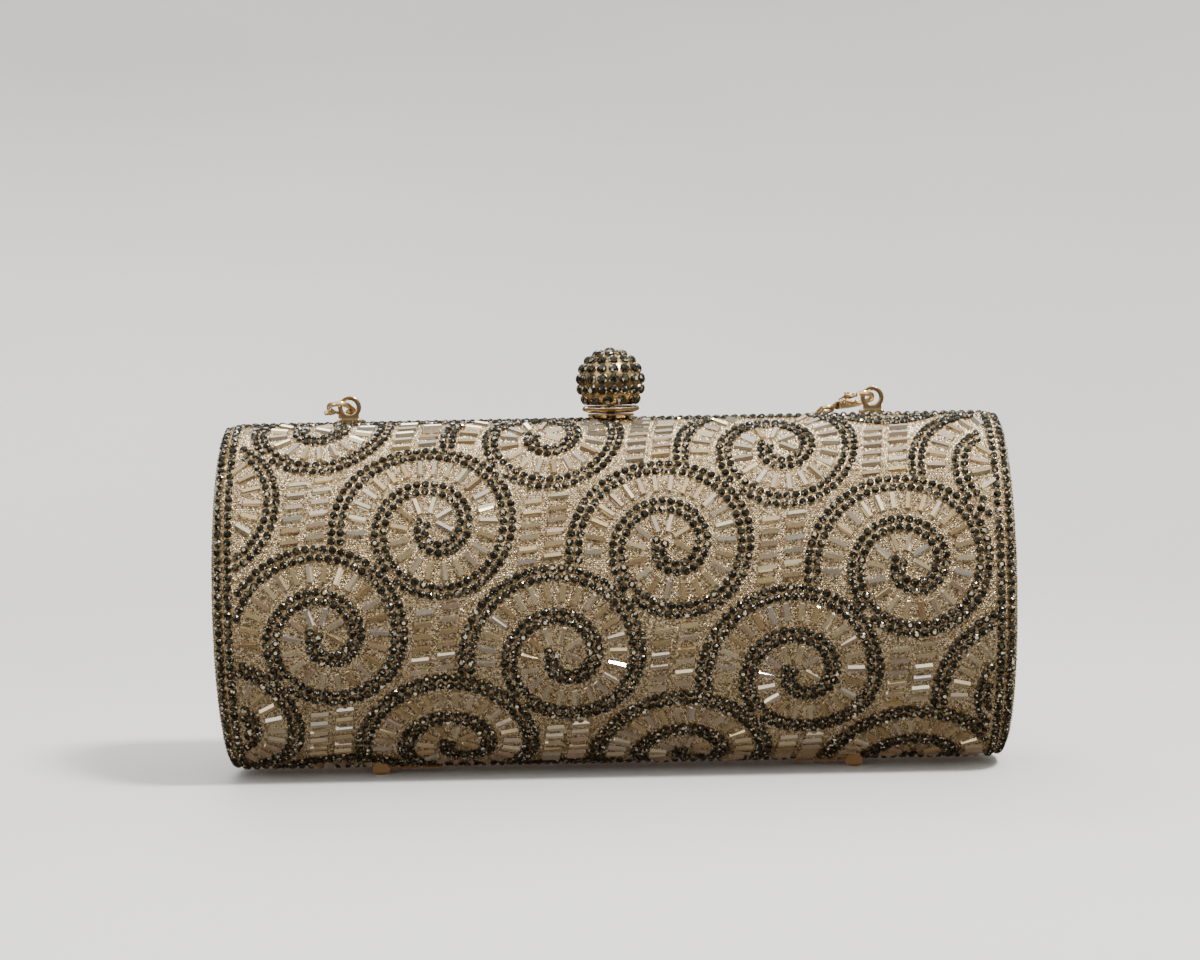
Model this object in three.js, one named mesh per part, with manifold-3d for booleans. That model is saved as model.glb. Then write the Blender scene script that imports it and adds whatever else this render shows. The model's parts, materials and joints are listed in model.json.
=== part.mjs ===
// Evening bag: a rigid barrel-shaped box clutch. Two half barrels meet at a thin metal frame and open like
// a clam on two small hinges at the bottom. A sprung ball on top works the catch, and a chain strap clips to
// two eyes. Millimetres, +X along the barrel, the front faces -Y, +Z up, origin under the middle of the feet.
import * as THREE from "three";
import { mergeVertices } from "three/addons/utils/BufferGeometryUtils.js";
import Module from "manifold-3d";

const wasm = await Module();
wasm.setup();

// Driving dimensions of the barrel
const BODY_LENGTH = 204;
const BODY_DEPTH = 70;
const BODY_HEIGHT = 89.5;
const BODY_LIFT = 2;
const EDGE_RADIUS = 4;
const GAP = 0.3;

// Layers of each half, outside to inside
const WRAP_THICKNESS = 1.2;
const SHELL_THICKNESS = 1.2;
const LINING_THICKNESS = 0.8;
const END_SEAM = 4.3;
const SHELL_INSET = WRAP_THICKNESS + GAP;
const LINING_INSET = SHELL_INSET + SHELL_THICKNESS + GAP;
const SEGMENTS_AROUND = 48;
const EDGE_STEPS = 3;
const MIN_EDGE_RADIUS = 0.6;

// Frame rails, one ring for each half
const SPLIT_GAP = 0.2;
const FRAME_DEPTH = 2;
const FRAME_PROUD = 0.35;
const FRAME_WIDTH = 5.9;
const FRAME_INNER_RADIUS = 2;
const FRAME_CURVE_SEGMENTS = 4;
const FRAME_BACK = SPLIT_GAP + FRAME_DEPTH;
const LAYER_START = FRAME_BACK + GAP;
const CENTRE_Z = BODY_LIFT + BODY_HEIGHT / 2;
const FRAME_TOP = BODY_LIFT + BODY_HEIGHT + FRAME_PROUD;

// Catch plate: the wider part of both top rails, with a notch for the lever
const CATCH_HALF_WIDTH = 9;
const CATCH_BOTTOM = 81;
const NOTCH_HALF_WIDTH = 2.3;
const NOTCH_BOTTOM = 83.5;

// Bottom hinges
const HINGE_X = 55;
const HINGE_Z = BODY_LIFT - FRAME_PROUD;
const HINGE_LENGTH = 18;
const KNUCKLE_RADIUS = 1.5;
const PIN_RADIUS = 0.5;
const PIN_BORE = PIN_RADIUS + GAP;
const LEAF_THICKNESS = 0.75;
const LEAF_START = 0.25;
const LEAF_TOP = 6;
const SMALL_SEGMENTS = 16;
const CURVE_SEGMENTS = 8;

// Feet
const FOOT_X = 62;
const FOOT_Y = 8.5;
const FOOT_RADIUS = 2.2;
const FOOT_CHAMFER = 0.6;
const FOOT_BLANK_HEIGHT = 8;

// Ball knob, its collar and the base on the frame
const BASE_RADIUS = 6.1;
const BASE_TOP = FRAME_TOP + 1.35;
const COLLAR_RADIUS = 7.5;
const COLLAR_BOTTOM = BASE_TOP + GAP;
const COLLAR_TOP = COLLAR_BOTTOM + 1.8;
const BALL_RADIUS = 8.9;
const BALL_Z = FRAME_TOP + 9.6;
const BALL_BOTTOM = COLLAR_TOP + GAP;
const BALL_SEGMENTS = 28;
const BALL_STEPS = 14;
const STUD_RADIUS = 1;
const STUD_TOP = BALL_BOTTOM + 3;
const STUD_BOTTOM = FRAME_TOP + 1;
const TURNED_SEGMENTS = 32;
const STUD_SEGMENTS = 12;
const BASE_OUTLINE = [
  [0, FRAME_TOP + GAP],
  [BASE_RADIUS - 0.4, FRAME_TOP + GAP],
  [BASE_RADIUS, BASE_TOP - 0.3],
  [BASE_RADIUS, BASE_TOP],
  [0, BASE_TOP],
];
const COLLAR_OUTLINE = [
  [0, COLLAR_BOTTOM],
  [COLLAR_RADIUS - 1.6, COLLAR_BOTTOM],
  [COLLAR_RADIUS, COLLAR_BOTTOM + 0.65],
  [COLLAR_RADIUS, COLLAR_TOP - 0.45],
  [COLLAR_RADIUS - 0.5, COLLAR_TOP],
  [0, COLLAR_TOP],
];

// Catch lever, in the plane across the barrel
const LEVER_HALF_WIDTH = 1.8;
const PIVOT_Y = 5;
const PIVOT_Z = 85;
const PIVOT_EYE_RADIUS = 1.7;
const PIVOT_PIN_RADIUS = 0.7;
const PIVOT_BORE = PIVOT_PIN_RADIUS + GAP;
const STEM_HALF = 1.1;
const NOSE_REACH = -4.6;
const NOSE_BOTTOM = 84.3;
const NOSE_TOP = 85.5;
const CHEEK_THICKNESS = 1.2;
const CHEEK_INNER = LEVER_HALF_WIDTH + GAP + 0.1;
const CHEEK_OUTER = CHEEK_INNER + CHEEK_THICKNESS;
const PIN_OVERHANG = 0.4;
const SPRING_LENGTH = 2.6;
const BRACKET_PLATE = 0.8;
const KEEPER_HALF_WIDTH = 4;
const KEEPER_BOTTOM = CATCH_BOTTOM + 0.6;
const KEEPER_TOP = NOSE_BOTTOM - GAP;
const KEEPER_THICKNESS = 1;
const LEVER_OUTLINE = [
  [-STEM_HALF, FRAME_TOP + 0.7],
  [-STEM_HALF, NOSE_TOP],
  [NOSE_REACH, NOSE_TOP],
  [NOSE_REACH, NOSE_BOTTOM],
  [STEM_HALF, NOSE_BOTTOM],
  [PIVOT_Y - 1, PIVOT_Z - 1.3],
  [PIVOT_Y, PIVOT_Z - 0.5],
  [PIVOT_Y, PIVOT_Z + 1],
  [STEM_HALF, PIVOT_Z + 1.6],
  [STEM_HALF, FRAME_TOP + 0.7],
];
const CHEEK_OUTLINE = [
  [LAYER_START, CATCH_BOTTOM],
  [LAYER_START + 2.4, CATCH_BOTTOM],
  [PIVOT_Y + 1.5, PIVOT_Z - 0.8],
  [PIVOT_Y + 0.6, PIVOT_Z + 1.5],
  [LAYER_START, PIVOT_Z + 1],
];

// Strap eyes on the back rail
const EYE_X = 69;
const EYE_Y = 1.2;
const EYE_THICKNESS = 1.6;
const EYE_RADIUS = 3.1;
const EYE_HOLE = 1.9;
const EYE_Z = FRAME_TOP + 4.3;
const EYE_NECK = 2.4;
const EYE_FLANGE = { halfWidth: EYE_NECK + 1, back: 4, thickness: 0.8 };
const EYE_WIRE = (EYE_RADIUS + EYE_HOLE) / 2;

// Lobster clasps, each drawn in its own plane: u to the right, v from the hook to the swivel
const CLASP_TILT = THREE.MathUtils.degToRad(24);
const CLASP_LEAN = { left: THREE.MathUtils.degToRad(20), right: THREE.MathUtils.degToRad(-50) };
const CLASP_HALF = 0.65;
const CLASP_CURVE_SEGMENTS = 6;
const HOOK_CENTRE = new THREE.Vector2(-0.3, 0);
const HOOK_INNER = 2.3;
const HOOK_OUTER = 3.3;
const HOOK_TIP_ANGLE = THREE.MathUtils.degToRad(-160);
const TRIGGER_PIVOT = new THREE.Vector2(-1.7, 5.2);
const TRIGGER_EYE = 1.2;
const TRIGGER_BORE = 0.75;
const TRIGGER_PIN = 0.45;
const TRIGGER_SEAT = -0.05;
const TRIGGER_LOW = TRIGGER_SEAT + GAP;
const TRIGGER_LAP = { left: -4, right: 0.2, bottom: 3, top: 7.4 };
const TRIGGER_ARM = [
  [-3.55, -0.3],
  [-2.6, -0.4],
  [-2.55, 2.6],
  [-3.9, 2.6],
  [-5.4, 2.1],
  [-5.4, 1.3],
  [-3.7, 1.2],
];
const TRIGGER_LINK = [
  [-2.55, 2.4],
  [TRIGGER_PIVOT.x + 0.7, TRIGGER_PIVOT.y - 0.9],
  [TRIGGER_PIVOT.x, TRIGGER_PIVOT.y],
  [TRIGGER_PIVOT.x - 1.15, TRIGGER_PIVOT.y],
  [-3.9, 2.6],
  [-3.9, 2.4],
];
const SWIVEL_CENTRE_V = 11.7;
const SWIVEL_RADIUS = 2.1;
const SWIVEL_HOLE = 1.1;
const SWIVEL_HALF = 0.5;

// Chain strap: one hanging run from each clasp, and a round coil of the spare length behind the bag
const CHAIN_RADIUS = 1.8;
const CHAIN_SIDES = 8;
const CHAIN_STEP = 8;
const COIL_CENTRE_Y = 66.2;
const COIL_INNER = 10.6;
const COIL_OUTER = 25.5;
const COIL_HEIGHT = 7.5;
const COIL_FLOOR = 0.05;
const COIL_EDGE = 1.5;
const COIL_SEGMENTS = 40;
const LEFT_RUN = [
  [-66.6, 13.5, 90.7],
  [-65.4, 18.8, 87.7],
  [-64.4, 26.5, 80.2],
  [-63.6, 32.5, 70.4],
  [-63.0, 36.2, 59.0],
  [-62.7, 37.6, 48.0],
  [-62.5, 37.7, 37.0],
  [-62.3, 37.8, 26.0],
  [-62.0, 37.9, 16.0],
  [-61.2, 38.2, 9.0],
  [-58.6, 39.4, 4.2],
  [-53.5, 41.2, 2.1],
  [-46.0, 42.3, 1.9],
  [-36.0, 42.7, 1.9],
  [-25.0, 42.6, 1.9],
  [-14.0, 42.6, 1.9],
];
const RIGHT_RUN = [
  [55.8, 9.6, 92.4],
  [53.5, 14.2, 90.2],
  [51.8, 19.6, 87.2],
  [50.6, 26.6, 80.1],
  [50.0, 32.5, 70.4],
  [49.7, 36.2, 59.0],
  [49.6, 37.6, 48.0],
  [49.5, 37.7, 37.0],
  [49.4, 37.8, 26.0],
  [49.2, 37.9, 16.0],
  [48.6, 38.2, 9.0],
  [46.2, 39.4, 4.2],
  [41.0, 41.2, 2.1],
  [33.5, 42.4, 2.1],
  [24.0, 42.6, 3.4],
  [14.0, 42.6, 5.2],
];

const MATERIALS = {
  beadwork: new THREE.MeshStandardMaterial({ color: 0xcdbb9f, roughness: 0.45, metalness: 0.3 }),
  glitter: new THREE.MeshStandardMaterial({ color: 0xb7a68b, roughness: 0.5, metalness: 0.3 }),
  shell: new THREE.MeshStandardMaterial({ color: 0x2b2824, roughness: 0.7, metalness: 0 }),
  satin: new THREE.MeshStandardMaterial({ color: 0xc9b28c, roughness: 0.6, metalness: 0 }),
  gold: new THREE.MeshStandardMaterial({ color: 0xd8b878, roughness: 0.2, metalness: 1 }),
  steel: new THREE.MeshStandardMaterial({ color: 0x9a9a98, roughness: 0.35, metalness: 1 }),
};

const bag = new THREE.Group();

// The two ends of a span, lower one first
function ordered(a, b) {
  return [Math.min(a, b), Math.max(a, b)];
}

// A closed solid from a geometry, with shared vertices merged and collapsed triangles dropped
function solid(geometry) {
  const bare = geometry.index ? geometry.toNonIndexed() : geometry.clone();
  bare.deleteAttribute("normal");
  bare.deleteAttribute("uv");
  const merged = mergeVertices(bare, 1e-4);
  const corners = merged.index.array;
  const kept = [];
  for (let i = 0; i < corners.length; i += 3) {
    const [a, b, c] = [corners[i], corners[i + 1], corners[i + 2]];
    if (a !== b && b !== c && c !== a) kept.push(a, b, c);
  }
  const positions = merged.getAttribute("position").array;
  return new wasm.Manifold(new wasm.Mesh({
    numProp: 3,
    vertProperties: new Float32Array(positions),
    triVerts: new Uint32Array(kept),
  }));
}

function addPart(parent, name, shape, material) {
  const result = shape.getMesh();
  const geometry = new THREE.BufferGeometry();
  geometry.setAttribute("position", new THREE.BufferAttribute(result.vertProperties, 3));
  geometry.setIndex(new THREE.BufferAttribute(result.triVerts, 1));
  geometry.computeVertexNormals();
  const mesh = new THREE.Mesh(geometry, material);
  mesh.name = name;
  parent.add(mesh);
}

function box(low, high) {
  const size = [0, 1, 2].map((i) => high[i] - low[i]);
  const geometry = new THREE.BoxGeometry(...size);
  geometry.translate(...[0, 1, 2].map((i) => (low[i] + high[i]) / 2));
  return solid(geometry);
}

// A cylinder along X with its axis at (y, z)
function rodX(radius, x0, x1, y, z) {
  const geometry = new THREE.CylinderGeometry(radius, radius, x1 - x0, SMALL_SEGMENTS);
  geometry.rotateZ(Math.PI / 2);
  geometry.translate((x0 + x1) / 2, y, z);
  return solid(geometry);
}

function extruded(shape, depth, curveSegments) {
  return new THREE.ExtrudeGeometry(shape, { depth, bevelEnabled: false, curveSegments });
}

// A shape drawn as (x, z), extruded from y0 to y1
function slabY(shape, y0, y1, curveSegments = CURVE_SEGMENTS) {
  const geometry = extruded(shape, y1 - y0, curveSegments);
  geometry.rotateX(Math.PI / 2);
  geometry.translate(0, y1, 0);
  return solid(geometry);
}

// A shape drawn as (y, z), extruded from x0 to x1
function slabX(shape, x0, x1) {
  const geometry = extruded(shape, x1 - x0, CURVE_SEGMENTS);
  geometry.applyMatrix4(new THREE.Matrix4().makeBasis(
    new THREE.Vector3(0, 1, 0),
    new THREE.Vector3(0, 0, 1),
    new THREE.Vector3(1, 0, 0),
  ));
  geometry.translate(x0, 0, 0);
  return solid(geometry);
}

// A shape drawn as (x, y), extruded from z0 to z1
function slabZ(shape, z0, z1) {
  const geometry = extruded(shape, z1 - z0, CLASP_CURVE_SEGMENTS);
  geometry.translate(0, 0, z0);
  return solid(geometry);
}

function polygon(points) {
  return new THREE.Shape(points.map(([x, y]) => new THREE.Vector2(x, y)));
}

function disc(x, y, radius) {
  const shape = new THREE.Shape();
  shape.absarc(x, y, radius, 0, 2 * Math.PI);
  return shape;
}

// A turned solid about a vertical axis through (x, y), from its profile of (radius, z) points
function turned(profile, segments, x = 0, y = 0) {
  const geometry = new THREE.LatheGeometry(profile.map(([r, z]) => new THREE.Vector2(r, z)), segments);
  geometry.rotateX(Math.PI / 2);
  geometry.translate(x, y, 0);
  return solid(geometry);
}

function roundedRectangle(halfX, halfZ, radius, centreZ) {
  const shape = new THREE.Shape();
  shape.moveTo(halfX, centreZ - halfZ + radius);
  shape.lineTo(halfX, centreZ + halfZ - radius);
  shape.absarc(halfX - radius, centreZ + halfZ - radius, radius, 0, Math.PI / 2);
  shape.lineTo(-halfX + radius, centreZ + halfZ);
  shape.absarc(-halfX + radius, centreZ + halfZ - radius, radius, Math.PI / 2, Math.PI);
  shape.lineTo(-halfX, centreZ - halfZ + radius);
  shape.absarc(-halfX + radius, centreZ - halfZ + radius, radius, Math.PI, 1.5 * Math.PI);
  shape.lineTo(halfX - radius, centreZ - halfZ);
  shape.absarc(halfX - radius, centreZ - halfZ + radius, radius, 1.5 * Math.PI, 2 * Math.PI);
  return shape;
}

// The whole barrel, set in from its outer surface: a rounded cylinder pressed to an ellipse
function barrel(inset) {
  const halfLength = BODY_LENGTH / 2 - inset;
  const halfHeight = BODY_HEIGHT / 2 - inset;
  const edge = Math.max(EDGE_RADIUS - inset, MIN_EDGE_RADIUS);
  const profile = [new THREE.Vector2(0, -halfLength)];
  for (const end of [-1, 1]) {
    for (let i = 0; i <= EDGE_STEPS; i += 1) {
      const turn = (end < 0 ? i : EDGE_STEPS - i) / EDGE_STEPS * Math.PI / 2;
      const radius = halfHeight - edge + edge * Math.sin(turn);
      const along = halfLength - edge + edge * Math.cos(turn);
      profile.push(new THREE.Vector2(radius, end * along));
    }
  }
  profile.push(new THREE.Vector2(0, halfLength));
  return pressedToBody(new THREE.LatheGeometry(profile, SEGMENTS_AROUND), inset);
}

// Lays a turned geometry along X, and narrows its depth to the barrel's ellipse
function pressedToBody(geometry, inset) {
  geometry.rotateZ(-Math.PI / 2);
  geometry.scale(1, (BODY_DEPTH / 2 - inset) / (BODY_HEIGHT / 2 - inset), 1);
  geometry.translate(0, 0, CENTRE_Z);
  return solid(geometry);
}

// An elliptical bar right through the barrel, which separates the end panels from the wrap
function endWindow(inset) {
  const radius = BODY_HEIGHT / 2 - inset;
  const geometry = new THREE.CylinderGeometry(radius, radius, 2 * BODY_LENGTH, SEGMENTS_AROUND);
  return pressedToBody(geometry, inset);
}

// Everything on one side of the split: side is -1 for the front, +1 for the back
function halfSpace(side) {
  const [low, high] = ordered(side * LAYER_START, side * BODY_DEPTH);
  return box([-BODY_LENGTH, low, -BODY_HEIGHT], [BODY_LENGTH, high, 2 * BODY_HEIGHT]);
}

function addLayers(parent, half, side) {
  const space = halfSpace(side);
  const skin = barrel(0).subtract(barrel(WRAP_THICKNESS)).intersect(space);
  addPart(parent, `${half}_wrap`, skin.subtract(endWindow(END_SEAM)), MATERIALS.beadwork);
  const panels = skin.intersect(endWindow(END_SEAM + GAP));
  for (const [end, direction] of [["left", -1], ["right", 1]]) {
    const [low, high] = ordered(0, direction * BODY_LENGTH);
    const beyond = box([low, -BODY_DEPTH, -BODY_HEIGHT], [high, BODY_DEPTH, 2 * BODY_HEIGHT]);
    addPart(parent, `${half}_end_panel_${end}`, panels.intersect(beyond), MATERIALS.glitter);
  }
  const shell = barrel(SHELL_INSET).subtract(barrel(SHELL_INSET + SHELL_THICKNESS));
  addPart(parent, `${half}_shell`, shell.intersect(space), MATERIALS.shell);
  const lining = barrel(LINING_INSET).subtract(barrel(LINING_INSET + LINING_THICKNESS));
  addPart(parent, `${half}_lining`, lining.intersect(space), MATERIALS.satin);
}

// The window through a frame, narrowed at the top middle by the catch plate
function frameWindow() {
  const halfX = BODY_LENGTH / 2 + FRAME_PROUD - FRAME_WIDTH;
  const halfZ = BODY_HEIGHT / 2 + FRAME_PROUD - FRAME_WIDTH;
  const opening = roundedRectangle(halfX, halfZ, FRAME_INNER_RADIUS, CENTRE_Z);
  const plate = box(
    [-CATCH_HALF_WIDTH, -2 * BODY_DEPTH, CATCH_BOTTOM],
    [CATCH_HALF_WIDTH, 2 * BODY_DEPTH, FRAME_TOP],
  );
  return slabY(opening, -BODY_DEPTH, BODY_DEPTH, FRAME_CURVE_SEGMENTS).subtract(plate);
}

function addFrame(parent, half, side) {
  const outline = roundedRectangle(
    BODY_LENGTH / 2 + FRAME_PROUD,
    BODY_HEIGHT / 2 + FRAME_PROUD,
    EDGE_RADIUS + FRAME_PROUD,
    CENTRE_Z,
  );
  let frame = slabY(outline, ...ordered(side * SPLIT_GAP, side * FRAME_BACK), FRAME_CURVE_SEGMENTS)
    .subtract(frameWindow());
  frame = frame.subtract(box(
    [-NOTCH_HALF_WIDTH, -BODY_DEPTH, NOTCH_BOTTOM],
    [NOTCH_HALF_WIDTH, BODY_DEPTH, 2 * BODY_HEIGHT],
  ));
  const mortise = LEAF_START + LEAF_THICKNESS + GAP;
  for (const centre of [-HINGE_X, HINGE_X]) {
    const low = centre - HINGE_LENGTH / 2 - GAP;
    const high = centre + HINGE_LENGTH / 2 + GAP;
    frame = frame.subtract(rodX(KNUCKLE_RADIUS + GAP, low, high, 0, HINGE_Z));
    frame = frame.subtract(box([low, -mortise, 0], [high, mortise, LEAF_TOP + GAP]));
  }
  addPart(parent, `${half}_frame`, frame, MATERIALS.gold);
}

// A hinge leaf: a plate let into its rail, and the knuckles listed as spans along the hinge
function hingeLeaf(centre, side, knuckles) {
  const [near, far] = ordered(side * LEAF_START, side * (LEAF_START + LEAF_THICKNESS));
  const start = centre - HINGE_LENGTH / 2;
  const end = centre + HINGE_LENGTH / 2;
  let leaf = box([start, near, HINGE_Z + PIN_BORE], [end, far, LEAF_TOP]);
  leaf = leaf.subtract(rodX(KNUCKLE_RADIUS + GAP, start - 1, end + 1, 0, HINGE_Z));
  for (const [from, to] of knuckles) {
    leaf = leaf.add(rodX(KNUCKLE_RADIUS, start + from, start + to, 0, HINGE_Z));
    leaf = leaf.add(box([start + from, near, HINGE_Z], [start + to, far, LEAF_TOP]));
  }
  return leaf.subtract(rodX(PIN_BORE, start - 1, end + 1, 0, HINGE_Z));
}

function addHinges(backHalf, frontHalf) {
  const third = HINGE_LENGTH / 3;
  const outer = [[0, third - GAP / 2], [2 * third + GAP / 2, HINGE_LENGTH]];
  const middle = [[third + GAP / 2, 2 * third - GAP / 2]];
  for (const [place, centre] of [["left", -HINGE_X], ["right", HINGE_X]]) {
    addPart(backHalf, `hinge_${place}_back_leaf`, hingeLeaf(centre, 1, outer), MATERIALS.gold);
    addPart(frontHalf, `hinge_${place}_front_leaf`, hingeLeaf(centre, -1, middle), MATERIALS.gold);
    const pin = rodX(PIN_RADIUS, centre - HINGE_LENGTH / 2, centre + HINGE_LENGTH / 2, 0, HINGE_Z);
    addPart(backHalf, `hinge_${place}_pin`, pin, MATERIALS.steel);
  }
}

// A foot is a short turned stud, cut off a gap short of the barrel's surface
function addFeet(parent, half, side) {
  const profile = [
    [0, 0],
    [FOOT_RADIUS - FOOT_CHAMFER, 0],
    [FOOT_RADIUS, FOOT_CHAMFER],
    [FOOT_RADIUS, FOOT_BLANK_HEIGHT],
    [0, FOOT_BLANK_HEIGHT],
  ];
  for (const [place, x] of [["left", -FOOT_X], ["right", FOOT_X]]) {
    const foot = turned(profile, SMALL_SEGMENTS, x, side * FOOT_Y).subtract(barrel(-GAP));
    addPart(parent, `${half}_foot_${place}`, foot, MATERIALS.gold);
  }
}

// The round base plate on the frames, slotted for the lever
function addClaspBase(parent) {
  const slot = box(
    [-NOTCH_HALF_WIDTH, -STEM_HALF - GAP, FRAME_TOP],
    [NOTCH_HALF_WIDTH, STEM_HALF + 5 * GAP, BASE_TOP + 1],
  );
  addPart(parent, "clasp_base", turned(BASE_OUTLINE, TURNED_SEGMENTS).subtract(slot), MATERIALS.gold);
}

// The bore for the pivot pin, right through everything that it carries
function pivotBore() {
  return rodX(PIVOT_BORE, -CATCH_HALF_WIDTH, CATCH_HALF_WIDTH, PIVOT_Y, PIVOT_Z);
}

// The lever: a stem up to the ball, an arm back to the pivot and a nose forward over the keeper
function catchLever() {
  const arm = slabX(polygon(LEVER_OUTLINE), -LEVER_HALF_WIDTH, LEVER_HALF_WIDTH);
  const eye = slabX(disc(PIVOT_Y, PIVOT_Z, PIVOT_EYE_RADIUS), -LEVER_HALF_WIDTH, LEVER_HALF_WIDTH);
  return arm.add(eye).subtract(pivotBore());
}

// The bracket behind the back rail: two cheeks on a cross plate, with a bore for the pivot pin
function catchBracket() {
  let bracket = box(
    [-CHEEK_OUTER, LAYER_START, CATCH_BOTTOM],
    [CHEEK_OUTER, LAYER_START + BRACKET_PLATE, NOTCH_BOTTOM - GAP],
  );
  for (const side of [-1, 1]) {
    const [left, right] = ordered(side * CHEEK_INNER, side * CHEEK_OUTER);
    bracket = bracket.add(slabX(polygon(CHEEK_OUTLINE), left, right));
    bracket = bracket.add(slabX(disc(PIVOT_Y, PIVOT_Z, PIVOT_EYE_RADIUS), left, right));
  }
  return bracket.subtract(pivotBore());
}

function addCatchFittings(backHalf, frontHalf) {
  const springStart = CHEEK_OUTER + GAP;
  const springEnd = springStart + SPRING_LENGTH;
  addPart(backHalf, "catch_bracket", catchBracket(), MATERIALS.gold);
  const pin = rodX(PIVOT_PIN_RADIUS, -CHEEK_OUTER - PIN_OVERHANG, springEnd + PIN_OVERHANG, PIVOT_Y, PIVOT_Z);
  addPart(backHalf, "catch_pivot_pin", pin, MATERIALS.steel);
  const spring = rodX(PIVOT_EYE_RADIUS, springStart, springEnd, PIVOT_Y, PIVOT_Z).subtract(pivotBore());
  addPart(backHalf, "catch_spring", spring, MATERIALS.steel);
  const keeper = box(
    [-KEEPER_HALF_WIDTH, -LAYER_START - KEEPER_THICKNESS, KEEPER_BOTTOM],
    [KEEPER_HALF_WIDTH, -LAYER_START, KEEPER_TOP],
  );
  addPart(frontHalf, "catch_keeper", keeper, MATERIALS.gold);
}

// The upright stud of the knob, grown by a margin to make its bore
function knobStud(margin) {
  const radius = STUD_RADIUS + margin;
  const low = STUD_BOTTOM - margin;
  const high = STUD_TOP + margin;
  return turned([[0, low], [radius, low], [radius, high], [0, high]], STUD_SEGMENTS);
}

function addKnob(parent) {
  const bore = knobStud(GAP);
  const collar = turned(COLLAR_OUTLINE, TURNED_SEGMENTS).subtract(bore);
  addPart(parent, "catch_lever", catchLever(), MATERIALS.gold);
  addPart(parent, "knob_stud", knobStud(0), MATERIALS.steel);
  addPart(parent, "knob_collar", collar, MATERIALS.gold);
  const profile = [[0, BALL_BOTTOM]];
  const cut = Math.acos((BALL_Z - BALL_BOTTOM) / BALL_RADIUS);
  for (let i = 0; i < BALL_STEPS; i += 1) {
    const turn = cut + (Math.PI - cut) * i / BALL_STEPS;
    profile.push([BALL_RADIUS * Math.sin(turn), BALL_Z - BALL_RADIUS * Math.cos(turn)]);
  }
  profile.push([0, BALL_Z + BALL_RADIUS]);
  addPart(parent, "knob_ball", turned(profile, BALL_SEGMENTS).subtract(bore), MATERIALS.gold);
}

// A strap eye: a flat ring on a neck, standing on the back rail
function strapEye(x) {
  const foot = FRAME_TOP + GAP;
  const neck = polygon([
    [-EYE_NECK, foot],
    [EYE_NECK, foot],
    [EYE_NECK, EYE_Z - EYE_HOLE / 2],
    [-EYE_NECK, EYE_Z - EYE_HOLE / 2],
  ]);
  const front = EYE_Y - EYE_THICKNESS / 2;
  const back = EYE_Y + EYE_THICKNESS / 2;
  const flange = box(
    [-EYE_FLANGE.halfWidth, GAP, foot],
    [EYE_FLANGE.halfWidth, EYE_FLANGE.back, foot + EYE_FLANGE.thickness],
  );
  return slabY(disc(0, EYE_Z, EYE_RADIUS), front, back)
    .add(slabY(neck, front, back))
    .add(flange)
    .subtract(slabY(disc(0, EYE_Z, EYE_HOLE), -BODY_DEPTH, BODY_DEPTH))
    .translate(x, 0, 0);
}

// The fixed half of a lobster clasp: a hook running into a tapered body, thinned beside the trigger
function claspBody() {
  const shape = new THREE.Shape();
  const tip = (radius) => [
    HOOK_CENTRE.x + radius * Math.cos(HOOK_TIP_ANGLE),
    HOOK_CENTRE.y + radius * Math.sin(HOOK_TIP_ANGLE),
  ];
  shape.moveTo(...tip(HOOK_OUTER));
  shape.absarc(HOOK_CENTRE.x, HOOK_CENTRE.y, HOOK_OUTER, HOOK_TIP_ANGLE, 0);
  shape.lineTo(3, 3.2);
  shape.quadraticCurveTo(2.6, 6.4, 1.1, 8.4);
  shape.lineTo(1.1, 9.2);
  shape.lineTo(-1.1, 9.2);
  shape.lineTo(-1.1, 8.2);
  shape.quadraticCurveTo(-2.9, 7.2, -3, 5.4);
  shape.lineTo(-2.6, 4.2);
  shape.lineTo(-0.6, 3.3);
  shape.lineTo(1.6, 2.7);
  shape.lineTo(2, 1.4);
  shape.absarc(HOOK_CENTRE.x, HOOK_CENTRE.y, HOOK_INNER, 0, HOOK_TIP_ANGLE, true);
  const lap = box(
    [TRIGGER_LAP.left, TRIGGER_LAP.bottom, TRIGGER_SEAT],
    [TRIGGER_LAP.right, TRIGGER_LAP.top, 2 * CLASP_HALF],
  );
  return slabZ(shape, -CLASP_HALF, CLASP_HALF).subtract(lap).subtract(triggerBore());
}

function triggerBore() {
  return slabZ(disc(TRIGGER_PIVOT.x, TRIGGER_PIVOT.y, TRIGGER_BORE), -2 * CLASP_HALF, 2 * CLASP_HALF);
}

// The trigger: an eye on the pin, a thumb tab, and an arm that closes the hook
function claspTrigger() {
  return slabZ(polygon(TRIGGER_ARM), -CLASP_HALF, CLASP_HALF)
    .add(slabZ(polygon(TRIGGER_LINK), TRIGGER_LOW, CLASP_HALF))
    .add(slabZ(disc(TRIGGER_PIVOT.x, TRIGGER_PIVOT.y, TRIGGER_EYE), TRIGGER_LOW, CLASP_HALF))
    .subtract(triggerBore());
}

function claspPin() {
  const half = CLASP_HALF + 0.1;
  return slabZ(disc(TRIGGER_PIVOT.x, TRIGGER_PIVOT.y, TRIGGER_PIN), -half, half);
}

// The swivel: the ring that the chain hangs from
function claspSwivel() {
  const ring = slabZ(disc(0, SWIVEL_CENTRE_V, SWIVEL_RADIUS), -SWIVEL_HALF, SWIVEL_HALF);
  return ring.subtract(slabZ(disc(0, SWIVEL_CENTRE_V, SWIVEL_HOLE), -2 * SWIVEL_HALF, 2 * SWIVEL_HALF));
}

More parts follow.
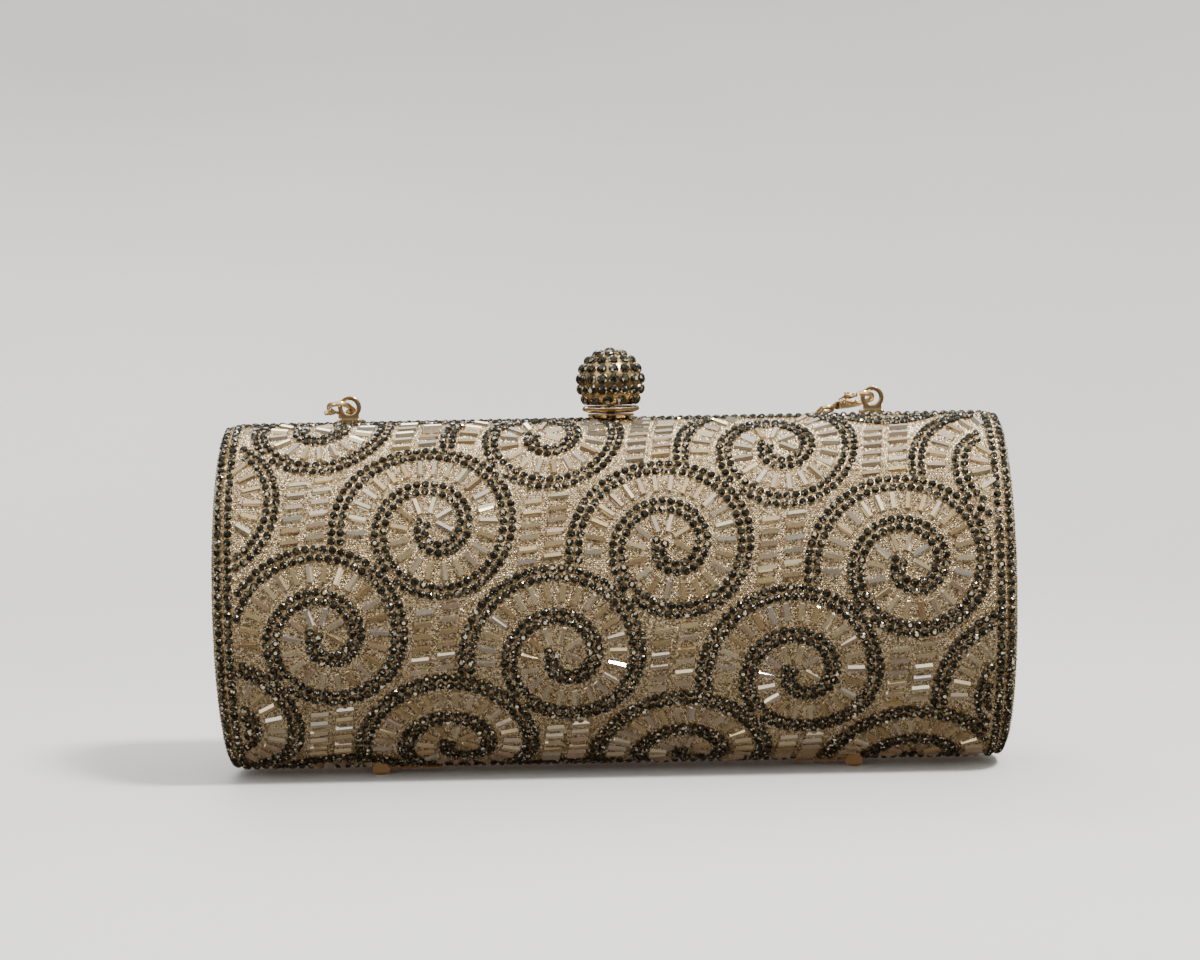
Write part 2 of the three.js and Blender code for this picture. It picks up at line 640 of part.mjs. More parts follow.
// A clasp's plane leans back from its eye, and its v axis swings from straight back towards the middle
function addClasp(parent, side, x) {
  const across = new THREE.Vector3(1, 0, 0);
  const back = new THREE.Vector3(0, Math.cos(CLASP_TILT), -Math.sin(CLASP_TILT));
  const normal = new THREE.Vector3().crossVectors(across, back);
  const lean = CLASP_LEAN[side];
  const v = back.clone().multiplyScalar(Math.cos(lean)).addScaledVector(across, Math.sin(lean));
  const u = across.clone().multiplyScalar(Math.cos(lean)).addScaledVector(back, -Math.sin(lean));
  const clasp = new THREE.Group();
  clasp.position.set(x - EYE_WIRE, EYE_Y, EYE_Z);
  clasp.quaternion.setFromRotationMatrix(new THREE.Matrix4().makeBasis(u, v, normal));
  addPart(clasp, `clasp_${side}_body`, claspBody(), MATERIALS.gold);
  addPart(clasp, `clasp_${side}_trigger`, claspTrigger(), MATERIALS.gold);
  addPart(clasp, `clasp_${side}_pin`, claspPin(), MATERIALS.steel);
  addPart(clasp, `clasp_${side}_swivel`, claspSwivel(), MATERIALS.gold);
  parent.add(clasp);
}

function chainRun(points) {
  const curve = new THREE.CatmullRomCurve3(points.map((p) => new THREE.Vector3(...p)));
  const section = new THREE.Shape();
  for (let i = 0; i < CHAIN_SIDES; i += 1) {
    const turn = (i + 0.5) / CHAIN_SIDES * 2 * Math.PI;
    const corner = [CHAIN_RADIUS * Math.cos(turn), CHAIN_RADIUS * Math.sin(turn)];
    if (i === 0) section.moveTo(...corner);
    else section.lineTo(...corner);
  }
  section.closePath();
  const steps = Math.round(curve.getLength() / CHAIN_STEP);
  return solid(new THREE.ExtrudeGeometry(section, { steps, bevelEnabled: false, extrudePath: curve }));
}

function chainCoil() {
  const top = COIL_FLOOR + COIL_HEIGHT;
  return turned([
    [COIL_INNER, COIL_FLOOR],
    [COIL_OUTER - COIL_EDGE, COIL_FLOOR],
    [COIL_OUTER, COIL_FLOOR + COIL_EDGE],
    [COIL_OUTER, top - COIL_EDGE],
    [COIL_OUTER - COIL_EDGE, top],
    [COIL_INNER, top],
    [COIL_INNER, COIL_FLOOR],
  ], COIL_SEGMENTS, 0, COIL_CENTRE_Y);
}

const backHalf = new THREE.Group();
const frontHalf = new THREE.Group();
const catchKnob = new THREE.Group();
const strap = new THREE.Group();

for (const [group, half, side] of [[backHalf, "back", 1], [frontHalf, "front", -1]]) {
  addLayers(group, half, side);
  addFrame(group, half, side);
  addFeet(group, half, side);
}
addHinges(backHalf, frontHalf);
addClaspBase(backHalf);
addCatchFittings(backHalf, frontHalf);
addKnob(catchKnob);
addPart(backHalf, "strap_eye_left", strapEye(-EYE_X), MATERIALS.gold);
addPart(backHalf, "strap_eye_right", strapEye(EYE_X), MATERIALS.gold);
addClasp(strap, "left", -EYE_X);
addClasp(strap, "right", EYE_X);
addPart(strap, "strap_chain_left", chainRun(LEFT_RUN), MATERIALS.gold);
addPart(strap, "strap_chain_right", chainRun(RIGHT_RUN), MATERIALS.gold);
addPart(strap, "strap_coil", chainCoil(), MATERIALS.gold);
bag.add(backHalf, frontHalf, catchKnob, strap);

export default bag;
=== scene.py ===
"""Evening bag: the looks of a beaded barrel clutch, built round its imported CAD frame.

Shapes are worked out in millimetres in the row frame, and add_mesh() turns them into metres.
"""

import json
import math

import bpy
import numpy as np
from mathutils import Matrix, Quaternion, Vector


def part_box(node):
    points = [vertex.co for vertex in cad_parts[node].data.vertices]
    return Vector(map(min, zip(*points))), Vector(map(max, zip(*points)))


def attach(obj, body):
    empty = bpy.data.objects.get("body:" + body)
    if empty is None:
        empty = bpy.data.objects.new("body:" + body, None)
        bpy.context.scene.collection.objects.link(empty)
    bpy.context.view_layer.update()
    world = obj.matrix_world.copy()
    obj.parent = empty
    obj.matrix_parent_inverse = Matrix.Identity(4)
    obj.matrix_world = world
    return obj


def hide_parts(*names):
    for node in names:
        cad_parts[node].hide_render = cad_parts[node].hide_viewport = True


MM = 0.001
SEED = 7
QUARTER_TURN = 0.25

# Neighbouring faces that turn by less than these angles are shaded as one, in degrees
SKIN_CREASE = 50
ROUND_CREASE = 60
CUP_CREASE = 35
DOME_CREASE = 100
BALL_CREASE = 40

# The camera: a portrait lens a little above the bag, aimed above its middle, slightly rolled
LENS = 85
SENSOR = 36
CAMERA_DISTANCE = 750
CAMERA_RISE = math.radians(5)
CAMERA_AIM = (-3.2, 0, 29)
CAMERA_ROLL = math.radians(-1.1)

# The barrel, as the CAD source has it
FRAME_PROUD = 0.35
EDGE_RADIUS = 4
COVER_THICKNESS = 1.2
LINING_INSET = 3.0
LINING_THICKNESS = 0.8
LAYER_START = 2.5
END_SEAM = 4.3
EDGE_STEPS = 6
COVER_GRID = (72, 60)
LINING_GRID = (96, 170)
LINING_WALL_STEPS = 12
LINING_EDGES = (1, 0.6)
LINING_END = 0.5

# Puffs of the satin between its gathers. A wave is its spacing along the bag and its slant round the section
PUFF_SPACING = 4.4
PUFF_DEPTH = 0.04
PUFF_SWAY = 1.2
PUFF_VARIETY = 0.4
SWAY_WAVE = (19, 3.1)
DEPTH_WAVE = (7, 3)

# The chain strap's route: a run from each clasp down the back, and a flat coil of two layers between them
LEFT_RUN = [
    (-66.6, 13.5, 90.7),
    (-65.4, 18.8, 87.7),
    (-64.4, 26.5, 80.2),
    (-63.6, 32.5, 70.4),
    (-63.0, 36.2, 59.0),
    (-62.7, 37.6, 48.0),
    (-62.5, 37.7, 37.0),
    (-62.3, 37.8, 26.0),
    (-62.0, 37.9, 16.0),
    (-61.2, 38.2, 9.0),
    (-58.6, 39.4, 4.2),
    (-53.5, 41.2, 2.1),
    (-46.0, 42.3, 1.9),
    (-36.0, 42.7, 1.9),
    (-25.0, 42.6, 1.9),
    (-14.0, 42.6, 1.9),
]
RIGHT_RUN = [
    (55.8, 9.6, 92.4),
    (53.5, 14.2, 90.2),
    (51.8, 19.6, 87.2),
    (50.6, 26.6, 80.1),
    (50.0, 32.5, 70.4),
    (49.7, 36.2, 59.0),
    (49.6, 37.6, 48.0),
    (49.5, 37.7, 37.0),
    (49.4, 37.8, 26.0),
    (49.2, 37.9, 16.0),
    (48.6, 38.2, 9.0),
    (46.2, 39.4, 4.2),
    (41.0, 41.2, 2.1),
    (33.5, 42.4, 2.1),
    (24.0, 42.6, 3.4),
    (14.0, 42.6, 5.2),
]
COIL_CENTRE = (0, 66.2)
COIL_OUTER = 23.6
COIL_PITCH = 3.7
COIL_TURNS = 3
COIL_POINTS = 18
COIL_LOW = 1.85
COIL_HIGH = 5.5
COIL_CLIMB = (2.75, 3.2)
ROUTE_STEPS = 6

# One link of the chain
LINK_WIRE = 0.46
LINK_HALF_WIDTH = 1.34
LINK_HALF_LENGTH = 1.95
LINK_PITCH = 2.85
LINK_STEPS = 14
WIRE_SIDES = 6

# The beadwork, on one half unrolled flat: s along the barrel, v up from its front middle line
ARC_STEPS = 800
LINE_STEPS = 2000
SWIRL_ORIGIN = (14.5, 13.7)
SWIRL_ACROSS = (60.1, -5.95)
SWIRL_DOWN = (32.3, -33.9)
SWIRL_START = 2.5
SWIRL_STEP = 11.0
SWIRL_EYE = 2.8
SWIRL_TURNS = (-0.07, 2.03)
SWIRL_ROWS = range(3, -4, -1)
SWIRL_PLACES = range(-4, 5)
SWIRL_REACH = (140, 95)
ROW_HALF_GAP = 1.18
STONE_PITCH = 2.3
STONE_RADIUS = 1.1
STONE_HEIGHT = 1.1
CUP_RADIUS = 1.15
CUP_HEIGHT = 0.36
CUP_BASE = -0.1
CUP_WALL = 0.8
CUP_LIP = 0.93
STONE_SIDES = 8
STONE_CLOSEST = STONE_PITCH * 0.84
STONE_KEEL = (0.94, 0.25)
STONE_CROWN = ((1, 0), (0.8, 0.55), (0.42, 1))
STONE_LEANS = (0.1, 0.1)
RAY_PITCH = 3.75
RAY_TURNS = (-0.5, 1.02)
RAY_INSET = 5.0
RAY_CLEARANCE = 2.0
BUGLE_LENGTH = 4.7
BUGLE_RADIUS = 0.92
BUGLE_SEAT = 0.15
BUGLE_SIDES = 6
BUGLE_END_SHARE = 0.8
BUGLE_GROUND = 0.18
BUGLE_LEANS = (0.02, 0.25)
COLUMN_OFFSETS = (-5.65, 0.8)
COLUMN_RISES = (0, 1.4)
COLUMN_PITCH = 3.14
COLUMN_LEAN = math.tan(math.radians(6.5))
COLUMN_REACH = 8
COLUMN_SPOTS = (-0.9, 0, 0.9)
COLUMN_CLEARANCE = STONE_RADIUS + BUGLE_RADIUS * 0.7
BUGLE_TILT = math.radians(6)
SWIRL_EDGE = 95.9
END_ROWS = (97.6, 100.1)
RIM_ROW = 59.2
RIM_PITCH = 2.4
FIELD_TOP = RIM_ROW - 1.8
SEED_PITCH = 0.62
SEED_RADIUS = 0.3
SEED_HEIGHT = 0.5
SEED_BASE = -0.1
SEED_CLEARANCE = 0.14
SEED_ROW = 0.87
SEED_JITTER = 0.18
SEED_SIZES = (0.8, 1.15)
SEED_REACH = (END_ROWS[1] + 2.2, RIM_ROW + 0.6)

# The end panels, on the front half
PANEL_GRID = (80, 20)
PANEL_CROWN = 1.2
PANEL_SEAM = 0.3 - LAYER_START

# Edges of the CAD nodes that stay. The small castings are rounded all over
SOFT_EDGE = 0.12
SOFT_SEGMENTS = 3
SOFT_ANGLE = math.radians(35)
WELD_REACH = 0.01
CAST_NODES = ("strap_eye", "clasp_left", "clasp_right")
CAST_VOXEL = 0.16
CAST_SMOOTHING = 10
CAST_EASE = 0.5

# The stage: a flat round floor, the bend round it and the top of the wall
SWEEP_FLAT = 500
SWEEP_BEND = 1600
SWEEP_TOP = 2300
SWEEP_STEPS = 24
SWEEP_SEGMENTS = 96
CEILING_LIGHT = 1.6

# Each lamp's name, place and size in metres, and power in watts
LAMPS = [
    ("key", (0.45, -0.40, 1.0), 0.2, 20),
    ("fill", (-0.9, -0.9, 0.6), 0.8, 3),
    ("rim", (-0.3, 0.9, 0.9), 0.6, 6),
]

# The ball clasp. Its rows of stones are (height above the ball's middle, pitch, turn in pitches)
BALL_CORE = 8.25
BALL_STEPS = 20
BALL_SEGMENTS = 48
BALL_STONE = 1.42
BALL_STONE_HEIGHT = 0.75
BALL_CUP = 1.46
BALL_CUP_HEIGHT = 0.22
BALL_ROWS = [
    (-4.6, 3.7, -0.2),
    (-1.8, 3.05, 0.3),
    (1.0, 3.05, 0.3),
    (3.7, 3.05, 0.3),
    (5.9, 3.05, 0.3),
    (7.5, 3.2, 0),
]

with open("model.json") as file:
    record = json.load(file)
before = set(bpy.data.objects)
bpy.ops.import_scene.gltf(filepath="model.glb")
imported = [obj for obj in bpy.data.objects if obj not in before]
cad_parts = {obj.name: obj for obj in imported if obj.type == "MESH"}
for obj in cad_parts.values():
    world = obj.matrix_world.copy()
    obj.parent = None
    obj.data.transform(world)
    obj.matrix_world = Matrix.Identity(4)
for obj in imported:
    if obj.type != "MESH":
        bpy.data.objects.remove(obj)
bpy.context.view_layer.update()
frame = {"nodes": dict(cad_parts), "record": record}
random = np.random.default_rng(SEED)


def box_mm(node):
    """A CAD node's lowest and highest corners, in millimetres."""
    low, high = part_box(node)
    return np.array(low) / MM, np.array(high) / MM


cover_low, cover_high = box_mm("front_wrap")
rail_low, rail_high = box_mm("front_frame")
HALF_LENGTH = cover_high[0]
HALF_DEPTH = -cover_low[1]
CENTRE_Z = (rail_low[2] + rail_high[2]) / 2
HALF_HEIGHT = (rail_high[2] - rail_low[2]) / 2 - FRAME_PROUD
FLAT_LENGTH = HALF_LENGTH - EDGE_RADIUS


# ---------------------------------------------------------------- camera


def add_camera():
    centre = Vector((0, 0, CENTRE_Z)) * MM
    back = Vector((0, -math.cos(CAMERA_RISE), math.sin(CAMERA_RISE)))
    data = bpy.data.cameras.new("camera")
    data.lens = LENS
    data.sensor_width = SENSOR
    camera = bpy.data.objects.new("camera", data)
    camera.location = centre + back * CAMERA_DISTANCE * MM
    look = centre + Vector(CAMERA_AIM) * MM - camera.location
    camera.rotation_mode = "QUATERNION"
    camera.rotation_quaternion = look.to_track_quat("-Z", "Y") @ Quaternion((0, 0, 1), CAMERA_ROLL)
    bpy.context.scene.collection.objects.link(camera)
    bpy.context.scene.camera = camera


# ---------------------------------------------------------------- mesh building


def add_mesh(name, points, faces, paint, sharp=None):
    """A mesh object from points in millimetres. Faces turn smoothly up to the sharp angle, in degrees."""
    mesh = bpy.data.meshes.new(name)
    mesh.from_pydata((np.asarray(points, float) * MM).tolist(), [], faces)
    mesh.update()
    if sharp is not None:
        mesh.shade_smooth()
        mesh.set_sharp_from_angle(angle=math.radians(sharp))
    mesh.materials.append(paint)
    made = bpy.data.objects.new(name, mesh)
    bpy.context.scene.collection.objects.link(made)
    return made


def grid_faces(rows, columns, start=0, turned=False):
    """Quads between neighbouring rows of a grid of points."""
    faces = []
    for i in range(rows - 1):
        for j in range(columns - 1):
            a = start + i * columns + j
            quad = (a, a + 1, a + columns + 1, a + columns)
            faces.append(quad[::-1] if turned else quad)
    return faces


def thick_sheet(outer, inner):
    """Points and faces of a closed sheet between two grids of the same size."""
    rows, columns = outer.shape[:2]
    count = rows * columns
    points = np.concatenate([outer.reshape(-1, 3), inner.reshape(-1, 3)])
    faces = grid_faces(rows, columns, turned=True) + grid_faces(rows, columns, count)
    rim = list(range(columns))
    rim += [i * columns + columns - 1 for i in range(1, rows)]
    rim += [(rows - 1) * columns + j for j in range(columns - 2, -1, -1)]
    rim += [i * columns for i in range(rows - 2, 0, -1)]
    for a, b in zip(rim, rim[1:] + rim[:1]):
        faces.append((a, b, b + count, a + count))
    return points, faces


def turned_solid(profile, segments):
    """Points and faces of a solid turned about Z from (radius, z) pairs, which start and end on the axis."""
    inner = profile[1:-1]
    points = [(0, 0, profile[0][1])]
    for k in range(segments):
        angle = 2 * math.pi * k / segments
        points += [(r * math.cos(angle), r * math.sin(angle), z) for r, z in inner]
    points.append((0, 0, profile[-1][1]))
    last = len(points) - 1
    count = len(inner)
    faces = []
    for k in range(segments):
        here = 1 + k * count
        there = 1 + (k + 1) % segments * count
        faces.append((0, there, here))
        for i in range(count - 1):
            faces.append((here + i, there + i, there + i + 1, here + i + 1))
        faces.append((here + count - 1, there + count - 1, last))
    return np.array(points, float), faces


def repeated(template, places, sizes=None):
    """Points and faces of a template at every place. A place is its origin and its three axes."""
    points, faces = template
    points = np.asarray(points, float)
    origin, axes = places
    scaled = np.broadcast_to(points, (len(origin), *points.shape))
    if sizes is not None:
        scaled = scaled * sizes[:, None, None]
    moved = np.einsum("nvk,nkj->nvj", scaled, axes) + origin[:, None, :]
    count = len(points)
    all_faces = []
    for n in range(len(origin)):
        shift = n * count
        all_faces += [tuple(i + shift for i in face) for face in faces]
    return moved.reshape(-1, 3), all_faces


# ---------------------------------------------------------------- paints
# Texture scales are per metre, and colours are linear.


def add_node(tree, kind, inputs=None, **settings):
    made = tree.nodes.new(kind)
    for key, value in settings.items():
        setattr(made, key, value)
    for key, value in (inputs or {}).items():
        if isinstance(value, bpy.types.NodeSocket):
            tree.links.new(value, made.inputs[key])
        else:
            made.inputs[key].default_value = value
    return made


def new_paint(name, **inputs):
    """A node material and its shader. Inputs are the shader's, with _ for a space."""
    made = bpy.data.materials.new(name)
    made.use_nodes = True
    shader = made.node_tree.nodes["Principled BSDF"]
    for key, value in inputs.items():
        shader.inputs[key.replace("_", " ")].default_value = value
    return made, made.node_tree, shader


def place_output(tree):
    return add_node(tree, "ShaderNodeTexCoord").outputs["Object"]


def noise(tree, scale, detail=3):
    inputs = {"Vector": place_output(tree), "Scale": scale, "Detail": detail}
    return add_node(tree, "ShaderNodeTexNoise", inputs).outputs["Fac"]


def cells(tree, scale):
    return add_node(tree, "ShaderNodeTexVoronoi", {"Vector": place_output(tree), "Scale": scale})


def ramp(tree, value, stops):
    """A colour ramp through (position, colour) stops."""
    made = add_node(tree, "ShaderNodeValToRGB", {"Fac": value})
    elements = made.color_ramp.elements
    while len(elements) < len(stops):
        elements.new(0.5)
    for element, (position, colour) in zip(elements, stops):
        element.position = position
        element.color = (*colour, 1)
    return made.outputs["Color"]


def between(tree, value, low, high):
    """A value from 0 to 1 mapped to run from low to high."""
    inputs = {"Value": value, "To Min": low, "To Max": high}
    return add_node(tree, "ShaderNodeMapRange", inputs).outputs["Result"]


def bump(tree, height, distance, strength=1.0):
    inputs = {"Height": height, "Distance": distance * MM, "Strength": strength}
    return add_node(tree, "ShaderNodeBump", inputs).outputs["Normal"]


def wire(tree, shader, **links):
    for key, value in links.items():
        tree.links.new(value, shader.inputs[key.replace("_", " ")])


def piece_random(tree):
    """A random value for each loose bead or stone of a mesh."""
    return add_node(tree, "ShaderNodeNewGeometry").outputs["Random Per Island"]


def facet_random(tree):
    """A random value for each flat facet, from the way that it faces on its own object."""
    facing_node = add_node(tree, "ShaderNodeNewGeometry").outputs["True Normal"]
    turned = add_node(tree, "ShaderNodeVectorTransform", {"Vector": facing_node})
    turned.vector_type = "NORMAL"
    turned.convert_from = "WORLD"
    turned.convert_to = "OBJECT"
    stepped = add_node(tree, "ShaderNodeVectorMath", {0: turned.outputs["Vector"], 1: (0.02, 0.02, 0.02)})
    stepped.operation = "SNAP"
    return add_node(tree, "ShaderNodeTexWhiteNoise", {"Vector": stepped.outputs["Vector"]}).outputs["Value"]


def glitter_cloth():
    made, tree, shader = new_paint("glitter cloth", Metallic=0.6)
    grains = cells(tree, 2400)
    colour = ramp(tree, grains.outputs["Color"], [
        (0.15, (0.13, 0.08, 0.04)),
        (0.45, (0.32, 0.22, 0.12)),
        (0.8, (0.78, 0.62, 0.40)),
    ])
    wire(tree, shader,
         Base_Color=colour,
         Roughness=between(tree, grains.outputs["Color"], 0.5, 0.2),
         Normal=bump(tree, grains.outputs["Distance"], 0.3))
    return made


def seed_bead():
    made, tree, shader = new_paint("seed beads", Metallic=0.8, Coat_Weight=1, Coat_Roughness=0.03)
    tint = ramp(tree, piece_random(tree), [
        (0.0, (0.13, 0.082, 0.03)),
        (0.4, (0.38, 0.275, 0.125)),
        (0.75, (0.70, 0.56, 0.31)),
        (1.0, (1.0, 0.97, 0.86)),
    ])
    wire(tree, shader, Base_Color=tint, Roughness=between(tree, noise(tree, 1500), 0.12, 0.3))
    return made


def bugle_glass():
    """Clear cut glass over a champagne lining, with a rainbow finish that differs from bead to bead."""
    made, tree, shader = new_paint(
        "bugle glass", Metallic=0.85, Coat_Weight=1, Coat_IOR=1.6, Coat_Roughness=0.02, Thin_Film_IOR=1.45
    )
    own = piece_random(tree)
    tint = ramp(tree, own, [
        (0.0, (0.38, 0.25, 0.11)),
        (0.25, (0.60, 0.47, 0.26)),
        (0.45, (0.76, 0.69, 0.50)),
        (0.65, (0.50, 0.37, 0.27)),
        (0.85, (0.55, 0.54, 0.49)),
        (1.0, (0.66, 0.48, 0.20)),
    ])
    streaks = noise(tree, 900, 4)
    wire(tree, shader,
         Base_Color=add_node(tree, "ShaderNodeMixRGB", {
             "Fac": between(tree, streaks, 0.0, 0.5),
             "Color1": tint,
             "Color2": (0.70, 0.56, 0.36, 1),
         }).outputs["Color"],
         Roughness=between(tree, streaks, 0.04, 0.16),
         Thin_Film_Thickness=between(tree, own, 280, 620))
    return made


def dark_stone():
    """Smoky faceted crystal over foil, with painted glints: each facet gets its own colour, near black on
    most and a painted pale highlight on a few.
    """
    made, tree, shader = new_paint("smoky stones", IOR=1.42, Metallic=0.3)
    # Painted glints: a random few facets are coloured pale as highlights; the rest are near black and dark
    # olive
    tint = ramp(tree, facet_random(tree), [
        (0.0, (0.003, 0.004, 0.003)),
        (0.45, (0.010, 0.010, 0.007)),
        (0.7, (0.030, 0.026, 0.016)),
        (0.88, (0.09, 0.075, 0.045)),
        (0.97, (0.50, 0.45, 0.34)),
    ])
    wire(tree, shader,
         Base_Color=tint,
         Roughness=between(tree, noise(tree, 700), 0.03, 0.1))
    return made


def plated(name, low, high, smooth, rough):
    """Plated metal with a faint cloudiness and fine rub marks."""
    made, tree, shader = new_paint(name, Metallic=1)
    clouds = noise(tree, 160, 4)
    rubs = noise(tree, 2400, 2)
    wire(tree, shader,
         Base_Color=ramp(tree, clouds, [(0.3, low), (0.7, high)]),
         Roughness=between(tree, clouds, smooth, rough),
         Normal=bump(tree, rubs, 0.01))
    return made


def satin_cloth():
    made, tree, shader = new_paint("satin", Sheen_Weight=0.35, Anisotropic=0.4)
    weave = add_node(tree, "ShaderNodeTexWave", {
        "Vector": place_output(tree),
        "Scale": 700,
        "Distortion": 1.5,
    }).outputs["Fac"]
    wire(tree, shader,
         Base_Color=ramp(tree, noise(tree, 420, 5), [(0.3, (0.50, 0.38, 0.22)), (0.7, (0.62, 0.49, 0.31))]),
         Roughness=between(tree, weave, 0.2, 0.4),
         Normal=bump(tree, weave, 0.05))
    return made


def moulded_shell():
    made, tree, shader = new_paint("moulded shell")
    grain = noise(tree, 1200)
    wire(tree, shader,
         Base_Color=ramp(tree, grain, [(0.3, (0.018, 0.016, 0.014)), (0.7, (0.035, 0.030, 0.026))]),
         Roughness=between(tree, grain, 0.5, 0.75),
         Normal=bump(tree, grain, 0.05))
    return made


def studio_floor():
    made, tree, shader = new_paint("studio floor", Roughness=0.6)
    tint = ramp(tree, noise(tree, 3), [(0.3, (0.74, 0.73, 0.71)), (0.7, (0.78, 0.77, 0.75))])
    wire(tree, shader, Base_Color=tint)
    return made


PAINTS = {
    "cloth": glitter_cloth(),
    "seeds": seed_bead(),
    "bugles": bugle_glass(),
    "stones": dark_stone(),
    "settings": plated("stone settings", (0.36, 0.25, 0.12), (0.66, 0.50, 0.28), 0.15, 0.35),
    "gold": plated("pale gold plating", (0.66, 0.48, 0.26), (0.79, 0.61, 0.36), 0.10, 0.2),
    "steel": plated("steel", (0.36, 0.36, 0.35), (0.52, 0.52, 0.50), 0.25, 0.4),
    "satin": satin_cloth(),
    "shell": moulded_shell(),
    "floor": studio_floor(),
}


# ---------------------------------------------------------------- chain strap


def coil_points():
    """The coil's line: it winds in on the ground, steps up, and winds out over itself."""
    points = []
    for k in range(2 * COIL_TURNS * COIL_POINTS + 1):
        turns = k / COIL_POINTS
        radius = COIL_OUTER - COIL_PITCH * min(turns, 2 * COIL_TURNS - turns)
        angle = 2 * math.pi * (turns - QUARTER_TURN)
        climb = np.clip((turns - COIL_CLIMB[0]) / (COIL_CLIMB[1] - COIL_CLIMB[0]), 0, 1)
        height = COIL_LOW + (COIL_HIGH - COIL_LOW) * climb * climb * (3 - 2 * climb)
        points.append((
            COIL_CENTRE[0] + radius * math.cos(angle),
            COIL_CENTRE[1] + radius * math.sin(angle),
            height,
        ))
    return points


def smooth_line(points, steps):
    """A Catmull-Rom line through the points, with that many steps between neighbours."""
    p = np.array(points, float)
    p = np.concatenate([[2 * p[0] - p[1]], p, [2 * p[-1] - p[-2]]])
    found = []
    for a, b, c, d in zip(p, p[1:], p[2:], p[3:]):
        for k in range(steps):
            t = k / steps
            found.append(0.5 * (2 * b + (c - a) * t + (2 * a - 5 * b + 4 * c - d) * t ** 2
                                + (3 * b - a - 3 * c + d) * t ** 3))
    found.append(p[-2])
    return np.array(found)


def link_places(line):
    """An origin and axes for every link along a line. Each link is turned a quarter from the one before."""
    steps = np.linalg.norm(np.diff(line, axis=0), axis=1)
    along = np.concatenate([[0], np.cumsum(steps)])
    count = int(along[-1] // LINK_PITCH)
    marks = (np.arange(count) + 0.5) * along[-1] / count
    origins = np.stack([np.interp(marks, along, line[:, i]) for i in range(3)], axis=1)
    ahead = np.stack([np.interp(marks + 1, along, line[:, i]) for i in range(3)], axis=1)
    behind = np.stack([np.interp(marks - 1, along, line[:, i]) for i in range(3)], axis=1)
    axes = []
    side = Vector((1, 0, 0))
    for k in range(count):
        tangent = Vector(ahead[k] - behind[k]).normalized()
        side = (side - tangent * side.dot(tangent)).normalized()
        across = tangent.cross(side)
        pair = (side, across) if k % 2 else (across, -side)
        axes.append([tuple(tangent), tuple(pair[0]), tuple(pair[1])])
    return origins, np.array(axes)


def link_template():
    """One oval link of round wire, long in x and wide in y."""
    points = []
    straight = LINK_HALF_LENGTH - LINK_HALF_WIDTH
    for k in range(LINK_STEPS):
        angle = 2 * math.pi * (k + 0.5) / LINK_STEPS
        outward = Vector((math.cos(angle), math.sin(angle), 0))
        centre = outward * LINK_HALF_WIDTH + Vector((math.copysign(straight, outward.x), 0, 0))
        for i in range(WIRE_SIDES):
            turn = 2 * math.pi * i / WIRE_SIDES
            points.append(tuple(centre + outward * (LINK_WIRE * math.cos(turn))
                                + Vector((0, 0, LINK_WIRE * math.sin(turn)))))
    faces = []
    for k in range(LINK_STEPS):
        here = k * WIRE_SIDES
        there = (k + 1) % LINK_STEPS * WIRE_SIDES
        for i in range(WIRE_SIDES):
            j = (i + 1) % WIRE_SIDES
            faces.append((here + i, there + i, there + j, here + j))
    return points, faces


def add_strap():
    route = LEFT_RUN + coil_points() + RIGHT_RUN[::-1]
    line = smooth_line(route, ROUTE_STEPS)
    points, faces = repeated(link_template(), link_places(line))
    strap = add_mesh("strap_chain", points, faces, PAINTS["gold"], ROUND_CREASE)
    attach(strap, "back_half")
    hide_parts("strap_chain_left", "strap_chain_right", "strap_coil")


# ---------------------------------------------------------------- the barrel's skins


def half_curve(inset, count):
    """(y, z) of the front half's section at an inset, from its bottom rim to its top rim."""
    reach = math.acos(LAYER_START / (HALF_DEPTH - inset))
    turns = np.linspace(-reach, reach, count)
    y = -(HALF_DEPTH - inset) * np.cos(turns)
    z = CENTRE_Z + (HALF_HEIGHT - inset) * np.sin(turns)
    return np.stack([y, z], axis=1)


def edge_profile(inset, radius, beyond):
    """(x, inset) pairs from the flat length round the end's rounded edge, and on by beyond over the end."""
    pairs = []
    for turn in np.linspace(0, math.pi / 2, EDGE_STEPS):
        x = HALF_LENGTH - inset - radius + radius * math.sin(turn)
        pairs.append((x, inset + radius * (1 - math.cos(turn))))
    pairs.append((pairs[-1][0], pairs[-1][1] + beyond))
    return pairs


def barrel_rows(inset, radius, grid, beyond, wall_steps=0):
    """Rows of points across the front half from one end to the other, with the end walls if asked."""
    count, flat_steps = grid
    right = edge_profile(inset, radius, beyond)
    flat = np.linspace(-right[0][0], right[0][0], flat_steps)[1:-1]
    pairs = [(-x, i) for x, i in right[::-1]] + [(x, inset) for x in flat] + right
    rows = []
    for x, i in pairs:
        curve = half_curve(i, count)
        rows.append(np.column_stack([np.full(count, x), curve]))
    if wall_steps:
        walls = []
        for k in range(wall_steps, 0, -1):
            wall = rows[0].copy()
            wall[:, 1] += (PANEL_SEAM - wall[:, 1]) * k / wall_steps
            walls.append(wall)
        mirrored = [wall * (-1, 1, 1) for wall in walls[::-1]]
        rows = walls + rows + mirrored
    return np.array(rows)


def facing(points, side):
    """Points of the front half, or turned half a turn about Z for the back half."""
    return points * (side, side, 1)


def add_cover(half, side):
    beyond = END_SEAM - EDGE_RADIUS
    outer = barrel_rows(0, EDGE_RADIUS, COVER_GRID, beyond)
    inner = barrel_rows(COVER_THICKNESS, EDGE_RADIUS - COVER_THICKNESS, COVER_GRID, beyond)
    points, faces = thick_sheet(outer, inner)
    cover = add_mesh(f"{half}_cover", facing(points, side), faces, PAINTS["cloth"], SKIN_CREASE)
    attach(cover, f"{half}_half")
    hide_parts(f"{half}_wrap")


def wave(along, turn, spacing, slant):
    """A ripple over the lining, from -1 to 1."""
    return np.sin(along / spacing + slant * turn)


